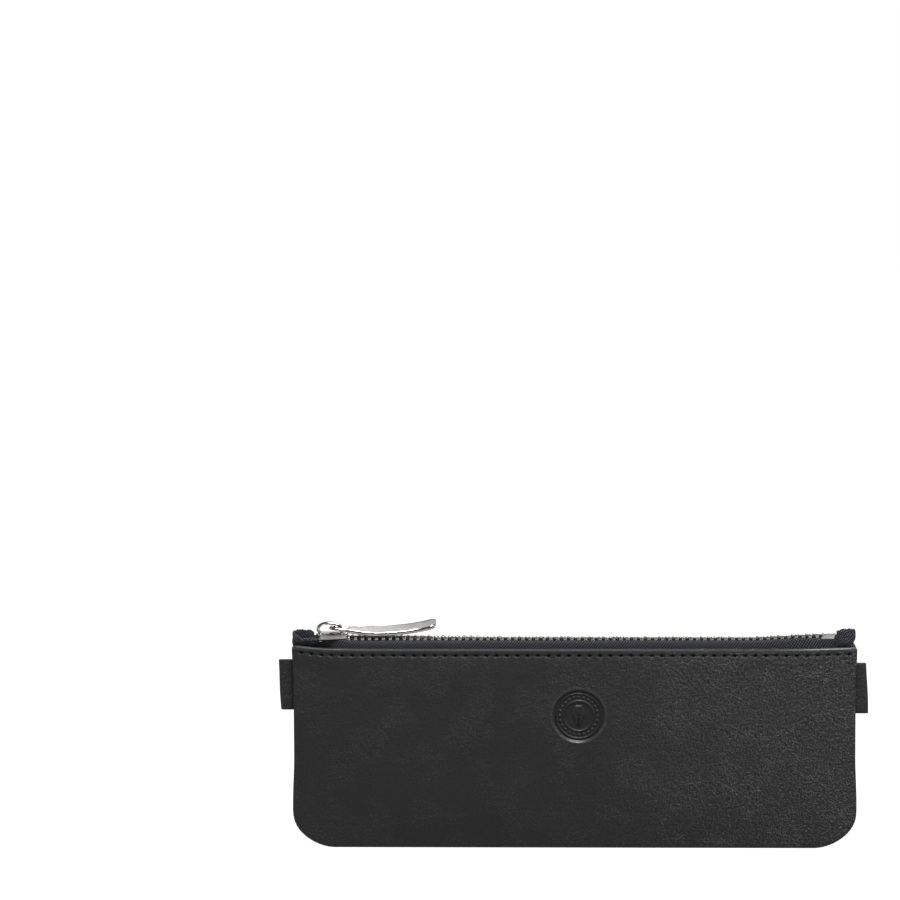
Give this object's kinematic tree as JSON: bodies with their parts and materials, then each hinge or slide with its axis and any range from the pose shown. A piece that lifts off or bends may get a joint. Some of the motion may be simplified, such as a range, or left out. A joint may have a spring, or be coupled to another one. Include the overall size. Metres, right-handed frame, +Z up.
{
  "type": "fountain pen case",
  "caption": "Slim black leather zip pouch for fountain pens, with a metal zip along its top edge, a leaf-shaped pull and short side loops.",
  "frame": {"origin": "under the middle of the case, on the surface that its bottom edge stands on", "axes": "+X along the zip from the slider's closed place towards the bottom stop, -Y towards the stamped front, +Z up to the zip"},
  "size_m": [0.217, 0.0152, 0.0838],
  "materials": {
    "leather": "fine-grained semi-matte black leather",
    "lining": "dark woven lining",
    "thread": "black sewing thread",
    "zip_tape": "black twill tape",
    "zip_metal": "nickel-plated teeth and stops",
    "slider_metal": "polished nickel plate",
    "pull_metal": "satin nickel with bright edges"
  },
  "bodies": {
    "case": {"front_panel": "leather", "front_lining": "lining", "left_loop": "leather", "right_loop": "leather", "front_top_stitch": "thread", "seam_needle_thread": "thread", "front_tape": "zip_tape", "left_tape_end": "zip_tape", "right_tape_end": "zip_tape", "front_teeth": "zip_metal", "front_top_stop": "zip_metal", "bottom_stop": "zip_metal"},
    "back_wall": {"back_panel": "leather", "back_lining": "lining", "back_top_stitch": "thread", "seam_bobbin_thread": "thread", "back_tape": "zip_tape", "back_teeth": "zip_metal", "back_top_stop": "zip_metal"},
    "slider": {"slider_body": "slider_metal", "slider_bail": "slider_metal"},
    "pull": {"pull_tab": "pull_metal"}
  },
  "joints": [
    {"name": "slider_slide", "type": "slide", "parent": "case", "child": "slider", "axis": [1, 0, 0], "range_m": [0, 0.172], "deforming": ["front_teeth", "back_teeth", "front_tape", "back_tape"]},
    {"name": "pull_swing", "type": "hinge", "parent": "slider", "child": "pull", "pos_m": [-0.0884, 0, 0.08085], "axis": [0, -1, 0], "range_deg": [0, 175]},
    {"name": "mouth_open", "type": "hinge", "parent": "case", "child": "back_wall", "pos_m": [0, 0, 0], "axis": [-1, 0, 0], "range_deg": [0, 18]}
  ],
  "couplings": [
    {"joint": "mouth_open", "follows": "slider_slide", "rad_per_m": 1.82}
  ]
}
